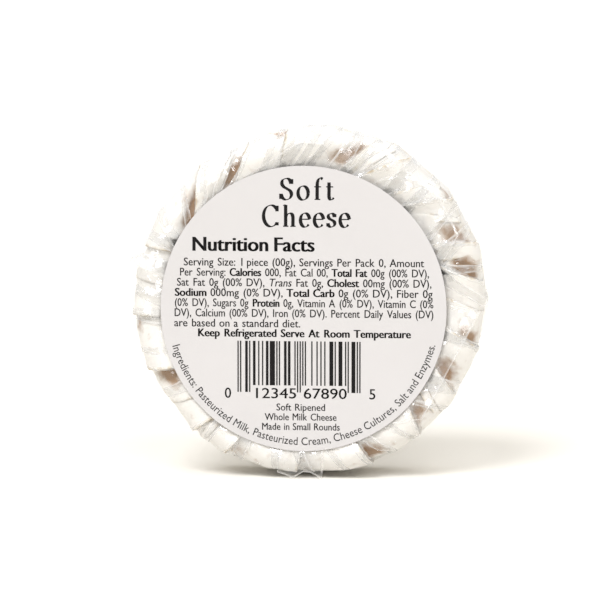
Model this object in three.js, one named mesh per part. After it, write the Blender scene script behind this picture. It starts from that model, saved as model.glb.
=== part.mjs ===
// A small soft-ripened cheese wheel standing on its rim, as it is sold: the cheese itself, a sheet of
// white cheese paper and a sheet of clear film pleated round it, and a round paper label that holds
// the pleats down on the front. Millimetres, +Z up. The wheel's axis runs along Y, its label faces -Y,
// and it rests on the flat that its weight presses into the wrapping.
import * as THREE from "three";

// The cheese: a disc with full, rounded shoulders.
const CHEESE_RADIUS = 41;
const CHEESE_THICKNESS = 21.5;
const SHOULDER_RADIAL = 5;
const BACK_SHOULDER_AXIAL = 4.5;
const FRONT_SHOULDER_AXIAL = 6;
const SHOULDER_STEPS = 3;
const CHEESE_SEGMENTS = 72;

// The sheets. Each is thicker than the real 0.02 to 0.1 mm, so that it stands as a solid.
const PAPER_THICKNESS = 0.3;
const FILM_THICKNESS = 0.3;
const SHEET_GAP = 0.35;
const OPENING_RADIUS = 22; // where the gathered sheets end, under the label
const BACK_FLAT_MARGIN = 3; // from the back shoulder in to where a sheet lies round and flat

// The flats into which a taut sheet pulls between its pleats: the direction that each one faces, in
// degrees anticlockwise from +X as seen from the front, and how far it stands off the cheese.
const FLATS = [
  { facing: 8.5, standOff: 1.2 },
  { facing: 28, standOff: 1.0 },
  { facing: 50, standOff: 1.1 },
  { facing: 73, standOff: 1.2 },
  { facing: 95.5, standOff: 1.1 },
  { facing: 115.5, standOff: 0.2 },
  { facing: 137.5, standOff: 0.7 },
  { facing: 158, standOff: 1.1 },
  { facing: 179.5, standOff: 1.2 },
  { facing: 200, standOff: 0.8 },
  { facing: 218.5, standOff: 0.4 },
  { facing: 241.5, standOff: 0.7 },
  { facing: 270, standOff: 0.9 }, // the flat it rests on
  { facing: 296, standOff: 0.3 },
  { facing: 315, standOff: 0.1 },
  { facing: 335, standOff: 0.2 },
  { facing: 351, standOff: 0.9 },
];
const COLUMNS_PER_FLAT = 4;
const FLAT_AT_BACK = 0.4; // how much of the flats shows where the back turns into the rim
const FLAT_AT_OPENING = 0.3;

// The pleats lie on the front like roof tiles: each one rises along its flat and drops to the next.
const PLEAT_RISE = 0.8;
const PLEAT_LEAN = THREE.MathUtils.degToRad(14); // how far the folds turn as they run to the opening

// Loose film that stands up from a pleat, at the end of the flat that faces a given way.
const FILM_FINS = [
  { facing: 73, height: 1.4 },
  { facing: 158, height: 3.2 },
  { facing: 351, height: 0.9 },
];

// The label, which was put on by hand and sits a little off the wheel's axis.
const LABEL_RADIUS = 35;
const LABEL_THICKNESS = 0.3;
const LABEL_OFFSET_X = -1.2;
const LABEL_OFFSET_Z = -1;
const LABEL_SEGMENTS = 72;

const PAPER_INSIDE = SHEET_GAP;
const PAPER_OUTSIDE = PAPER_INSIDE + PAPER_THICKNESS;
const FILM_INSIDE = PAPER_OUTSIDE + SHEET_GAP;
const FILM_OUTSIDE = FILM_INSIDE + FILM_THICKNESS;
const COLUMN_COUNT = FLATS.length * COLUMNS_PER_FLAT;

// The corner where two neighbouring flats meet, seen along the wheel's axis.
function cornerBetween(flat, next, offset) {
  const a = THREE.MathUtils.degToRad(flat.facing);
  const b = THREE.MathUtils.degToRad(next.facing);
  const reachA = CHEESE_RADIUS + offset + flat.standOff;
  const reachB = CHEESE_RADIUS + offset + next.standOff;
  const turn = Math.sin(b - a);
  return new THREE.Vector2(
    (reachA * Math.sin(b) - reachB * Math.sin(a)) / turn,
    (reachB * Math.cos(a) - reachA * Math.cos(b)) / turn,
  );
}

// A sheet's outline at its widest: a point for each column, in a straight line along each flat.
function sheetOutline(offset) {
  const corners = FLATS.map((flat, i) =>
    cornerBetween(flat, FLATS[(i + 1) % FLATS.length], offset),
  );
  const points = [];
  corners.forEach((end, i) => {
    const start = corners.at(i - 1);
    for (let k = 0; k < COLUMNS_PER_FLAT; k++) {
      points.push(start.clone().lerp(end, k / COLUMNS_PER_FLAT));
    }
  });
  return points;
}

// How far a column stands up its pleat: fully on the fold, not at all beside it, then rising again.
function pleatHeight(column) {
  const along = column % COLUMNS_PER_FLAT;
  return along === 0 ? 1 : (along - 1) / COLUMNS_PER_FLAT;
}

// One face of a sheet, a given offset from the cheese, from the middle of the back over the rim to
// the opening on the front. Each row says how much the flats, pleats, lean and fins show in it.
function sheetRows(offset) {
  const back = CHEESE_THICKNESS / 2 + offset;
  const front = -CHEESE_THICKNESS / 2 - offset;
  const shoulder = CHEESE_RADIUS + offset - SHOULDER_RADIAL;
  const plain = { flats: 0, pleats: 0, lean: 0, fins: 0 };
  const rows = [
    { ...plain, radius: 0, y: back },
    { ...plain, radius: shoulder - BACK_FLAT_MARGIN, y: back },
  ];
  for (let k = 0; k <= SHOULDER_STEPS; k++) {
    const share = k / SHOULDER_STEPS;
    rows.push({
      ...plain,
      radius: shoulder + SHOULDER_RADIAL * Math.sin((share * Math.PI) / 2),
      y: back - BACK_SHOULDER_AXIAL * (1 - Math.cos((share * Math.PI) / 2)),
      flats: THREE.MathUtils.lerp(FLAT_AT_BACK, 1, share),
    });
  }
  for (let k = SHOULDER_STEPS; k >= 0; k--) {
    const share = k / SHOULDER_STEPS;
    rows.push({
      ...plain,
      radius: shoulder + SHOULDER_RADIAL * Math.sin((share * Math.PI) / 2),
      y: front + FRONT_SHOULDER_AXIAL * (1 - Math.cos((share * Math.PI) / 2)),
      flats: 1,
      pleats: 1 - share,
      fins: share,
    });
  }
  rows.push({
    ...plain, radius: OPENING_RADIUS, y: front, flats: FLAT_AT_OPENING, pleats: 1, lean: 1,
  });
  return rows;
}

// A pleated sheet as one closed solid: a lathed shell whose columns are then drawn out to the flats
// and fins, raised into pleats and turned as the folds lean.
function pleatedSheet(inside, outside, fins) {
  const rows = [...sheetRows(outside), ...sheetRows(inside).reverse()];
  const section = rows.map((row) => new THREE.Vector2(row.radius, row.y));
  const geometry = new THREE.LatheGeometry(section, COLUMN_COUNT);
  const outline = sheetOutline(outside);
  const finHeights = new Array(COLUMN_COUNT).fill(0);
  for (const fin of fins) {
    const flat = FLATS.findIndex((candidate) => candidate.facing === fin.facing);
    finHeights[((flat + 1) * COLUMNS_PER_FLAT) % COLUMN_COUNT] = fin.height;
  }
  const position = geometry.attributes.position;
  for (let i = 0; i < position.count; i++) {
    const column = Math.floor(i / rows.length) % COLUMN_COUNT;
    const row = rows[i % rows.length];
    const corner = outline[column];
    const angle = Math.atan2(corner.y, corner.x) + row.lean * PLEAT_LEAN;
    const drawnOut = corner.length() - CHEESE_RADIUS - outside;
    const radius = row.radius + row.flats * drawnOut + row.fins * finHeights[column];
    const y = row.y - row.pleats * PLEAT_RISE * pleatHeight(column);
    position.setXYZ(i, radius * Math.cos(angle), y, radius * Math.sin(angle));
  }
  return geometry;
}

// The cheese's half section, from the axis at the front to the axis at the back.
function cheeseSection() {
  const shoulder = CHEESE_RADIUS - SHOULDER_RADIAL;
  const half = CHEESE_THICKNESS / 2;
  const quarter = Math.PI / 2;
  const frontRise = FRONT_SHOULDER_AXIAL;
  const backRise = BACK_SHOULDER_AXIAL;
  const section = new THREE.Path();
  section.moveTo(0, -half);
  section.lineTo(shoulder, -half);
  section.absellipse(shoulder, frontRise - half, SHOULDER_RADIAL, frontRise, -quarter, 0);
  section.absellipse(shoulder, half - backRise, SHOULDER_RADIAL, backRise, 0, quarter);
  section.lineTo(0, half);
  return section.getPoints(SHOULDER_STEPS);
}

function piece(name, geometry, color, roughness) {
  const material = new THREE.MeshStandardMaterial({ color, roughness, metalness: 0 });
  const mesh = new THREE.Mesh(geometry, material);
  mesh.name = name;
  return mesh;
}

const cheese = piece(
  "cheese_wheel",
  new THREE.LatheGeometry(cheeseSection(), CHEESE_SEGMENTS),
  "#ece6d8",
  0.85,
);

const paper = piece(
  "paper_liner",
  pleatedSheet(PAPER_INSIDE, PAPER_OUTSIDE, []),
  "#f4f1ea",
  0.7,
);

const film = piece(
  "film_wrap",
  pleatedSheet(FILM_INSIDE, FILM_OUTSIDE, FILM_FINS),
  "#f2f4f6",
  0.1,
);

const label = piece(
  "round_label",
  new THREE.CylinderGeometry(LABEL_RADIUS, LABEL_RADIUS, LABEL_THICKNESS, LABEL_SEGMENTS),
  "#ecebea",
  0.55,
);
const pleatTops = -CHEESE_THICKNESS / 2 - FILM_OUTSIDE - PLEAT_RISE;
label.position.set(
  LABEL_OFFSET_X,
  pleatTops - SHEET_GAP - LABEL_THICKNESS / 2,
  LABEL_OFFSET_Z,
);

// The origin is the middle of the bottom of the whole, so the flat that it rests on lies at Z = 0.
const wheel = new THREE.Group();
wheel.add(cheese, paper, film, label);
const extent = new THREE.Box3().setFromObject(wheel, true);
const middle = extent.getCenter(new THREE.Vector3());
wheel.position.set(-middle.x, -middle.y, -extent.min.z);

export default wheel;
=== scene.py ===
"""A small soft-ripened cheese wheel in its shop wrapping: the cheese, a pleated sheet of white
cheese paper, a pleated sheet of clear film and a printed round label. It is laid out as an add-on
with one operator for each piece, and builds the whole object when it is run as a script."""
import math
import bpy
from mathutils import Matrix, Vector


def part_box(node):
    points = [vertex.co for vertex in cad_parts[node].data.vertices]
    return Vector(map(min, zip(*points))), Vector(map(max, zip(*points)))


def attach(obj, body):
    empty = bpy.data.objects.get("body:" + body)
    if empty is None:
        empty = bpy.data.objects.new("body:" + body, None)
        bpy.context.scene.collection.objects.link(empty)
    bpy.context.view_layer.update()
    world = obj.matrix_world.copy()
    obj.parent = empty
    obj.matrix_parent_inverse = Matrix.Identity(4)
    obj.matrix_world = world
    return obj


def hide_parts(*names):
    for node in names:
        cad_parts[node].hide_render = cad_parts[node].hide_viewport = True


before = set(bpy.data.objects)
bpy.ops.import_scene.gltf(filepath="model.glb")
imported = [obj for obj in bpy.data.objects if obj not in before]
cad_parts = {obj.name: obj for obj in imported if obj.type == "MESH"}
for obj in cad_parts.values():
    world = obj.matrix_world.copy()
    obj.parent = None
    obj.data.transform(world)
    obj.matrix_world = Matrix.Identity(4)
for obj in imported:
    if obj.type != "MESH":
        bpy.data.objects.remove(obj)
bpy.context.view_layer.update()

from types import SimpleNamespace

import bmesh
import bpy
import numpy as np
from bpy.props import FloatProperty, FloatVectorProperty, IntProperty, PointerProperty
from mathutils import Vector
from mathutils.bvhtree import BVHTree

bl_info = {
    "name": "Wrapped Cheese Wheel",
    "version": (1, 0, 0),
    "blender": (4, 5, 0),
    "location": "View3D > Sidebar > Cheese",
    "description": "Builds a small soft cheese wheel in pleated paper and film, with a round label",
    "category": "Add Mesh",
}

MM = 0.001

CHEESE_LOW, CHEESE_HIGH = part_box("cheese_wheel")
CENTRE = (CHEESE_LOW + CHEESE_HIGH) / 2
CHEESE_RADIUS = (CHEESE_HIGH.x - CHEESE_LOW.x) / 2 / MM
CHEESE_THICKNESS = (CHEESE_HIGH.y - CHEESE_LOW.y) / MM
LABEL_LOW, LABEL_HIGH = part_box("round_label")
LABEL_RADIUS = (LABEL_HIGH.x - LABEL_LOW.x) / 2 / MM
LABEL_X = ((LABEL_LOW.x + LABEL_HIGH.x) / 2 - CENTRE.x) / MM
LABEL_Z = ((LABEL_LOW.z + LABEL_HIGH.z) / 2 - CENTRE.z) / MM
LABEL_FRONT = (CENTRE.y - LABEL_LOW.y) / MM
LABEL_BACK = (CENTRE.y - LABEL_HIGH.y) / MM

# The cheese's shoulders, in millimetres, and how finely they and its flat faces are drawn.
SHOULDER_RADIAL = 5.0
BACK_SHOULDER_AXIAL = 4.5
FRONT_SHOULDER_AXIAL = 6.0
SHOULDER_STEPS = 40
FACE_STEPS = 60

# How a sheet's mesh is laid out, in millimetres along its section unless it says otherwise.
BACK_ROWS = 1.6              # between rows on the plain back
BACK_MARGIN = 4.0            # they end this far from the back's edge
SHOWN_MARGIN = 3.5           # close rows go on this far under the label
HIDDEN_ROWS = 5              # rows in all, hidden under the label
THINNED_COLUMNS = 4          # columns that join into one near the middle of the back
THINNED_ROWS = 6             # rows in which they do
MIDDLE_ROW = 2.0             # the innermost row
PANEL_SPARE = 2.5            # length that a panel's columns cover past it, for each 1 of tuck
TUCK_LENGTH = 4.5            # length that a tuck's columns cover, for each 1 of tuck
PRESSED_IN = 1.5             # how far inside the label's edge a sheet is pressed down fully
PRESSED_OUT = 3.5            # and how far outside it the pressing starts
RAY_START = 12.0             # how far outside a sheet the rays that look beneath it start
PLEAT_RUN = 6.0              # length over which a pleat opens out
LEAST_TUCK = 0.25            # how far a tuck goes beneath its fold at the least
LEAST_RADIUS = 4.0           # no pleat is narrower than it would be at this radius
LEAN_FROM = 4.0              # how far outside the front's edge a pleat starts to lean
LEAN_RUN = 9.0               # length in which it leans by its own angle
HIGHEST_OUT = -2.5           # no pleat is highest further out than this from the front's edge
LEVEL_LIFT = 0.15            # share of a pleat's lift that it has all along
RIM_LIFT = 0.2               # share of a pleat's lift that is left on the rim
PANEL_CURVE = 1.2            # above 1, a panel stays low at first and rises near its fold
LIFT_LENGTH = 5.0            # reach of the swelling at a pleat's highest place
PUFF_OUT = -1.5              # where the shoulder is puffed up most, from the front's edge
PUFF_LENGTH = 4.5            # reach of the puffed-up shoulder
HOLLOW_LENGTH = 2.4          # reach of a hollow along the section
HOLLOW_WIDTH = 3.4           # and beyond its flat part, across the section
HOLLOW_FLAT = 0.8            # width of its flat part
HOLLOW_DEPTH = 0.9           # how far a hollow goes below the sheet's offset
CLOSE = 0.9                  # a sheet further than this above its offset touches nothing
INWARDS_RUN = 14.0           # length in from the front's edge where the outline's pull fades
INWARDS_LOSS = 0.7           # and the share of it that does
STANDING_SPREAD = 0.07       # how wide the foot that it stands on is, as 1 less the angle's cosine


# ---------------------------------------------------------------- shape helpers, in millimetres

def smoothstep(low, high, x):
    t = np.clip((x - low) / (high - low), 0.0, 1.0)
    return t * t * (3.0 - 2.0 * t)


def place(radius, angle, depth):
    """Points in metres from wheel coordinates: distance from the axis, angle anticlockwise from +X
    as seen from the front, and depth from the wheel's middle plane towards the front."""
    x = CENTRE.x + radius * np.cos(angle) * MM
    z = CENTRE.z + radius * np.sin(angle) * MM
    y = CENTRE.y - depth * MM
    return np.stack(np.broadcast_arrays(x, y, z), axis=-1)


def make_mesh(name, points, faces, smooth=True):
    mesh = bpy.data.meshes.new(name)
    mesh.from_pydata([tuple(p) for p in points], [], faces)
    mesh.validate()
    mesh.polygons.foreach_set("use_smooth", [smooth] * len(mesh.polygons))
    piece = bpy.data.objects.new(name, mesh)
    bpy.context.scene.collection.objects.link(piece)
    return piece


def add_attribute(piece, name, values):
    layer = piece.data.attributes.new(name, "FLOAT", "POINT")
    layer.data.foreach_set("value", np.asarray(values, np.float32))


def section_path(squareness):
    """The cheese's half section as dense points from the middle of the back to the middle of the
    front: distance along it, radius, depth and outward normal. Squareness below 1 gives the crisper
    edge that a folded sheet has."""
    half = CHEESE_THICKNESS / 2
    shoulder = CHEESE_RADIUS - SHOULDER_RADIAL
    turn = np.linspace(0, math.pi / 2, SHOULDER_STEPS)
    sine, cosine = np.sin(turn) ** squareness, np.cos(turn) ** squareness
    radius = np.concatenate([
        np.linspace(0, shoulder, FACE_STEPS)[:-1],
        shoulder + SHOULDER_RADIAL * sine,
        shoulder + SHOULDER_RADIAL * sine[::-1],
        np.linspace(shoulder, 0, FACE_STEPS)[1:],
    ])
    depth = np.concatenate([
        np.full(FACE_STEPS - 1, -half),
        -half + BACK_SHOULDER_AXIAL * (1 - cosine),
        half - FRONT_SHOULDER_AXIAL * (1 - cosine[::-1]),
        np.full(FACE_STEPS - 1, half),
    ])
    along = np.concatenate([[0], np.cumsum(np.hypot(np.diff(radius), np.diff(depth)))])
    tangent_r, tangent_d = np.gradient(radius, along), np.gradient(depth, along)
    step = np.hypot(tangent_r, tangent_d)
    return {
        "along": along, "radius": radius, "depth": depth,
        "normal_r": tangent_d / step, "normal_d": -tangent_r / step,
        "rim_start": along[FACE_STEPS + SHOULDER_STEPS - 2],
        "front_edge": along[-1] - shoulder, "total": along[-1],
    }


def section_at(path, rows):
    """The section's radius, depth and outward normal at distances along it."""
    return {key: np.interp(rows, path["along"], path[key])
            for key in ("radius", "depth", "normal_r", "normal_d")}


def rim_outline(node):
    """The outline of a wrapped node at its widest, seen along the axis: angles and radii."""
    points = np.array([v.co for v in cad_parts[node].data.vertices])
    x, z = (points[:, 0] - CENTRE.x) / MM, (points[:, 2] - CENTRE.z) / MM
    radius, angle = np.hypot(x, z), np.arctan2(z, x) % (2 * math.pi)
    rim = radius > CHEESE_RADIUS * 0.99
    key = np.round(angle[rim], 3)
    angles = np.unique(key)
    return angles, np.array([radius[rim][key == a].max() for a in angles])


def crumple(u, v, period, spacing, seed):
    """Heights from -1 to 1 over a sheet that has been crushed and smoothed out again: flat facets
    between straight creases. u wraps round at period, and spacing is the usual facet size."""
    rng = np.random.default_rng(seed)
    across = max(4, int(round(period / spacing)))
    step = period / across
    up = int(math.ceil((v.max() - v.min()) / spacing)) + 4
    jitter = rng.uniform(-0.42, 0.42, (up, across, 2))
    height = rng.uniform(-1, 1, (up, across))
    flips = rng.random((up, across + 4)) < 0.5
    column, row = np.meshgrid(np.arange(-2, across + 3), np.arange(up))
    wrapped = column % across
    x = (column + jitter[row, wrapped, 0]) * step
    y = (row - 1.5 + jitter[row, wrapped, 1]) * spacing + v.min()
    corners = np.stack([x, y, height[row, wrapped]], -1).reshape(-1, 3)
    wide = x.shape[1]
    triangles = []
    for r in range(up - 1):
        for c in range(wide - 1):
            a, b = r * wide + c, r * wide + c + 1
            d, e = a + wide, b + wide
            if flips[r, c % across]:
                triangles += [(a, b, e), (a, e, d)]
            else:
                triangles += [(a, b, d), (b, e, d)]
    tree = BVHTree.FromPolygons([tuple(p) for p in corners], triangles, all_triangles=True)
    down = Vector((0, 0, -1))
    flat_u, flat_v = (u % period).ravel(), v.ravel()
    found = [tree.ray_cast(Vector((a, b, 5)), down)[0] for a, b in zip(flat_u, flat_v)]
    return np.array([0.0 if hit is None else hit.z for hit in found]).reshape(u.shape)


# ---------------------------------------------------------------- the pleated sheets

def sheet_rows(path, opening, fine):
    """Distances along the section at which a sheet has rows: wide apart on the plain back and where
    the label hides it, and close on the rim and on the front as far as the label."""
    face_radius = CHEESE_RADIUS - SHOULDER_RADIAL
    back_edge = face_radius - BACK_MARGIN
    shown = path["front_edge"] + (face_radius - (LABEL_RADIUS - SHOWN_MARGIN))
    end = path["total"] - opening
    return np.concatenate([
        np.arange(MIDDLE_ROW, back_edge, BACK_ROWS),
        np.arange(back_edge, path["rim_start"], fine * 1.5),
        np.arange(path["rim_start"], shown, fine),
        np.linspace(shown, end, HIDDEN_ROWS),
    ])


def sheet_columns(folds, look):
    """The sheet's columns: which pleat each is in, whether it is on the panel that shows or on the
    tuck beneath it, how far along that it lies, and how far along the whole pleat."""
    pleat, on_panel, along, even = [], [], [], []
    for i, fold in enumerate(folds):
        arc = (fold["angle"] - folds[i - 1]["angle"]) % (2 * math.pi) * CHEESE_RADIUS
        panel = max(6, round((arc + PANEL_SPARE * fold["tuck"]) / look.fineness))
        tuck = max(4, round(TUCK_LENGTH * fold["tuck"] / look.fineness))
        if i == len(folds) - 1:
            panel += -(len(pleat) + panel + tuck) % THINNED_COLUMNS
        pleat += [i] * (panel + tuck)
        on_panel += [True] * panel + [False] * tuck
        along += [k / panel for k in range(panel)] + [k / tuck for k in range(tuck)]
        even += [k / (panel + tuck) for k in range(panel + tuck)]
    return np.array(pleat), np.array(on_panel), np.array(along), np.array(even)


def pleated_sheet(name, folds, outline, look, beneath=None):
    """A round sheet drawn over the wheel from the back and folded down over the front in knife
    pleats. Each pleat's panel rises to its fold, tucks back beneath it and comes out again as the
    next panel."""
    path = section_path(look.squareness)
    rows = sheet_rows(path, look.opening, look.fineness)[:, None]
    section = section_at(path, rows)
    columns = sheet_columns(folds, look)
    lines = fold_lines(folds, columns, rows, section, path, look)
    angle = lines["angle"]
    height, hollow = pleat_heights(folds, columns, lines, rows, path, look)
    height = height + crumple_heights(angle, rows, section, path, look)
    height = np.maximum(height, look.offset * 0.5)
    base_r = section["radius"] + drawn_out(outline, angle, rows, path, look)
    if beneath is not None:
        height = clear_of(beneath, base_r, angle, section, height, look)
    points = place(base_r + height * section["normal_r"], angle,
                   section["depth"] + height * section["normal_d"])
    press_under_label(points, look)

    piece = make_mesh(name, points.reshape(-1, 3), grid_faces(*angle.shape))
    shown = smoothstep(12, 30, section["radius"])
    # The crease value paints tan shade along the paper's folds, and on the film a white that is
    # partly painted highlight.
    add_attribute(piece, "crease", (creases(points) * shown).ravel())
    # Painted shade and dampness: points that lie low against the rind, mostly just past each fold and
    # on the tucks, get a cream tint that stands for dampened paper and for shade in the pleats'
    # valleys.
    low = 1 - np.clip((height - look.offset) / CLOSE, 0, 1)
    add_attribute(piece, "damp_and_valley_shade", (low * np.where(columns[1], 1, 1.3)).ravel())
    # The hollow value also drives the brown painted shade deep in each hollow.
    add_attribute(piece, "hollow", hollow.ravel())
    return piece


def fold_lines(folds, columns, rows, section, path, look):
    """The angles round the wheel of a sheet's points, and at each point those of its pleat's fold,
    of the fold before and of the hidden line where its panel starts."""
    pleat, on_panel, share_along, even_share = columns
    corner, lean, tuck = (np.array([f[key] for f in folds]) for key in ("angle", "lean", "tuck"))
    radius = np.maximum(section["radius"], LEAST_RADIUS)
    pleated_from = path["rim_start"] - look.pleat_start
    started = smoothstep(pleated_from, pleated_from + PLEAT_RUN, rows)
    spare = math.pi * np.maximum(rows - section["radius"], 0) / tuck.sum()
    leant = np.clip((rows - path["front_edge"] + LEAN_FROM) / LEAN_RUN, 0, 3)

    fold = corner + lean * leant
    hidden = fold - (LEAST_TUCK + spare * tuck * started) / radius
    turn = 2 * math.pi * (pleat == 0)
    fold_here, hidden_here = fold[:, pleat], hidden[:, pleat]
    fold_before = np.roll(fold, 1, 1)[:, pleat] - turn
    hidden_before = np.roll(hidden, 1, 1)[:, pleat] - turn
    pleated = np.where(
        on_panel,
        hidden_before + (fold_here - hidden_before) * share_along,
        fold_here + (hidden_here - fold_here) * share_along,
    )
    even = fold_before + (fold_here - fold_before) * even_share
    angle = even + (pleated - even) * smoothstep(pleated_from - 5, pleated_from + 1, rows)
    return {
        "angle": angle, "fold": fold_here, "fold_before": fold_before,
        "hidden_before": hidden_before, "started": started, "radius": radius,
    }


def pleat_heights(folds, columns, lines, rows, path, look):
    """How far a sheet's points stand off the cheese for its pleats and its puffed-up shoulder, and
    how deep in a hollow each is."""
    pleat, on_panel, share_along, _ = columns
    lift, peak, pocket, ear = (
        np.array([f[key] for f in folds]) for key in ("lift", "peak", "pocket", "ear"))
    past_edge = rows - path["front_edge"]
    fold, fold_before, hidden_before = lines["fold"], lines["fold_before"], lines["hidden_before"]

    covered = (fold_before - hidden_before) / np.maximum(fold - hidden_before, 1e-6)
    rise = np.clip((share_along - covered) / np.maximum(1 - covered, 1e-6), 0, 1) ** PANEL_CURVE
    highest = np.maximum(peak, HIGHEST_OUT)[pleat]
    swell = np.exp(-(((past_edge - highest) / LIFT_LENGTH) ** 2))
    off_rim = RIM_LIFT + (1 - RIM_LIFT) * smoothstep(-10, -4.5, past_edge)
    standing = (lift[pleat] * (LEVEL_LIFT + swell) * off_rim + ear[pleat]) * lines["started"]
    height = look.offset + np.where(
        on_panel, standing * rise, np.maximum(standing - look.layer, 0) * (1 - share_along),
    )

    puffed = np.exp(-(((past_edge - PUFF_OUT) / PUFF_LENGTH) ** 2)) * lines["started"]
    past_fold = (lines["angle"] - fold_before) * lines["radius"]
    depth_in = np.exp(-(((past_edge - np.roll(peak, 1)[pleat]) / HOLLOW_LENGTH) ** 2))
    across_it = np.exp(-((np.maximum(past_fold - HOLLOW_FLAT, 0) / HOLLOW_WIDTH) ** 2))
    hollow = np.roll(pocket, 1)[pleat] * depth_in * across_it * on_panel
    return height + look.puff * puffed - hollow * (look.puff + HOLLOW_DEPTH), hollow


def crumple_heights(angle, rows, section, path, look):
    """The heights of a sheet's crushed facets, which fade at the back and vanish at its middle."""
    u, v = angle * CHEESE_RADIUS, np.broadcast_to(rows, angle.shape)
    period = 2 * math.pi * CHEESE_RADIUS
    past_back = rows - path["rim_start"]
    busy = look.back_crumple + (1 - look.back_crumple) * smoothstep(-2, 9, past_back)
    busy = busy * smoothstep(3, 20, section["radius"])
    large = crumple(u, v, period, look.large_facet, look.seed)
    small = crumple(u, v, period, look.small_facet, look.seed + 1)
    return busy * (look.large_height * large + look.small_height * small)


def drawn_out(outline, angle, rows, path, look):
    """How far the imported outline's flats and corners draw a sheet out past the round cheese: on the
    rim, less on the front, and not where the wheel stands."""
    angles, radii = outline
    widest = np.interp(angle % (2 * math.pi), angles, radii, period=2 * math.pi)
    past_back = rows - path["rim_start"]
    on_rim = smoothstep(-9, 0, past_back)
    inwards = np.clip((rows - path["front_edge"]) / INWARDS_RUN, 0, 1)
    lowest = np.exp((np.cos(angle + math.pi / 2) - 1) / STANDING_SPREAD)
    forward = smoothstep(2, 11, past_back)
    drawn = widest - CHEESE_RADIUS - look.outline_offset
    return drawn * on_rim * (1 - INWARDS_LOSS * inwards) * (1 - lowest * forward)


def press_under_label(points, look):
    """Presses a sheet's points down behind the label, and keeps them above the floor."""
    x, y, z = np.moveaxis(points, -1, 0)
    from_label = np.hypot(
        (x - CENTRE.x) / MM - LABEL_X, (z - CENTRE.z) / MM - LABEL_Z)
    pressed = CENTRE.y - (LABEL_BACK - look.under_label) * MM
    under = 1 - smoothstep(LABEL_RADIUS - PRESSED_IN, LABEL_RADIUS + PRESSED_OUT, from_label)
    points[..., 1] = y + (np.maximum(y, pressed) - y) * under
    points[..., 2] = np.maximum(z, look.above_floor * MM)


def clear_of(beneath, base_r, angle, section, height, look):
    """Heights raised where needed, so that a sheet stays outside the piece beneath it."""
    start = place(base_r + RAY_START * section["normal_r"], angle,
                  section["depth"] + RAY_START * section["normal_d"])
    inward = place(base_r, angle, np.broadcast_to(section["depth"], angle.shape)) - start
    flat_start, flat_inward = start.reshape(-1, 3), inward.reshape(-1, 3)
    least = np.empty(len(flat_start))
    for i, (point, way) in enumerate(zip(flat_start, flat_inward)):
        hit = beneath.ray_cast(Vector(point), Vector(way).normalized())
        least[i] = 0 if hit[0] is None else RAY_START - hit[3] / MM
    return np.maximum(height, least.reshape(height.shape) + look.layer)


def grid_faces(row_count, column_count):
    """Quads between rows that close round the wheel, with the innermost rows thinned out and the
    middle of the back closed by one face."""
    thinned = THINNED_COLUMNS
    faces = []
    for r in range(row_count - 1):
        a, b = r * column_count, (r + 1) * column_count
        if r < THINNED_ROWS:
            for c in range(0, column_count, thinned):
                n = (c + thinned) % column_count
                outer = [b + n]
                if r == THINNED_ROWS - 1:
                    outer = [b + (c + k) % column_count for k in range(thinned, 0, -1)]
                faces.append((a + c, a + n, *outer, b + c))
        else:
            for c in range(column_count):
                n = (c + 1) % column_count
                faces.append((a + c, a + n, b + n, b + c))
    faces.append(tuple(range(column_count - thinned, -1, -thinned)))
    return faces


LEAST_BEND, SHARP_BEND = 0.3, 1.0     # between neighbours' normals: no crease, and a full one


def creases(points):
    """How sharply a sheet bends at each point of its grid, from 0 to 1."""
    along = np.gradient(points, axis=0)
    across = (np.roll(points, -1, 1) - np.roll(points, 1, 1)) / 2
    normal = np.cross(along, across)
    normal /= np.maximum(np.linalg.norm(normal, axis=-1, keepdims=True), 1e-12)
    bend = np.linalg.norm(np.roll(normal, -1, 1) - normal, axis=-1)
    bend[:-1] = np.maximum(bend[:-1], np.linalg.norm(normal[1:] - normal[:-1], axis=-1))
    return smoothstep(LEAST_BEND, SHARP_BEND, bend)


def folds_at(mains, look):
    """Pleats at the main folds, with smaller ones between, each a little different from the last.
    A main fold gives its degrees, how far it stands out past the rim, its lean in degrees, and how
    deep a hollow it opens and how far in."""
    rng = np.random.default_rng(look.seed + 7)
    folds = []
    for i, (degrees, ear, lean, pocket, inwards) in enumerate(mains):
        gap, lean_before = (degrees - mains[i - 1][0]) % 360, mains[i - 1][2]
        between = rng.integers(look.between_low, look.between_high + 1)
        places = [(k + 1 + rng.uniform(-0.25, 0.25)) / (between + 1) for k in range(between)]
        for place_share in [*places, 1.0]:
            main = place_share == 1.0
            size = 1.0 if main else rng.uniform(0.2, 0.6)
            lean_here = lean_before + (lean - lean_before) * place_share
            opened = 0.5 * pocket if main else 0
            folds.append({
                "angle": math.radians(degrees - gap * (1 - place_share)),
                "lean": math.radians(lean_here + rng.normal(0, look.lean_spread)),
                "tuck": rng.uniform(0.7, 1.2) * (0.35 + 0.65 * size),
                "lift": rng.uniform(look.lift_low, look.lift_high) * size + opened,
                "ear": ear if main else 0.0,
                "peak": inwards if main else rng.uniform(-4.5, 2.5),
                "pocket": pocket if main else 0.0,
            })
    return folds


# The paper's main folds: degrees, reach past the rim, lean, hollow and how far in the hollow is.
PAPER_FOLDS = (
    (8, 0, 9, 1.0, -1.5), (21, 0, 9, 1.0, -2.5), (37, 0, 12, 0.4, -7), (56, 0.1, 14, 0.1, -3),
    (68, 0, 14, 1.0, -0.5), (97, 0, 5, 0.7, -6.5), (111, 0, 20, 1.0, -0.5), (129, 0, 20, 1.0, 0),
    (161, 0, 2, 0.1, -3), (184, 0, 5, 0.3, -4), (203, 0.2, 6, 0.8, -1.5), (228, 0, 6, 0.2, -6),
    (241, 0, 4, 0.3, -4), (266, 0, 2, 0.2, -3), (292, 0.2, -6, 0.75, -3), (311, 0, 6, 0.7, -1),
    (329, 0, 8, 0.8, -1), (346, 0, 8, 0.55, -2.5),
)
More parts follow.
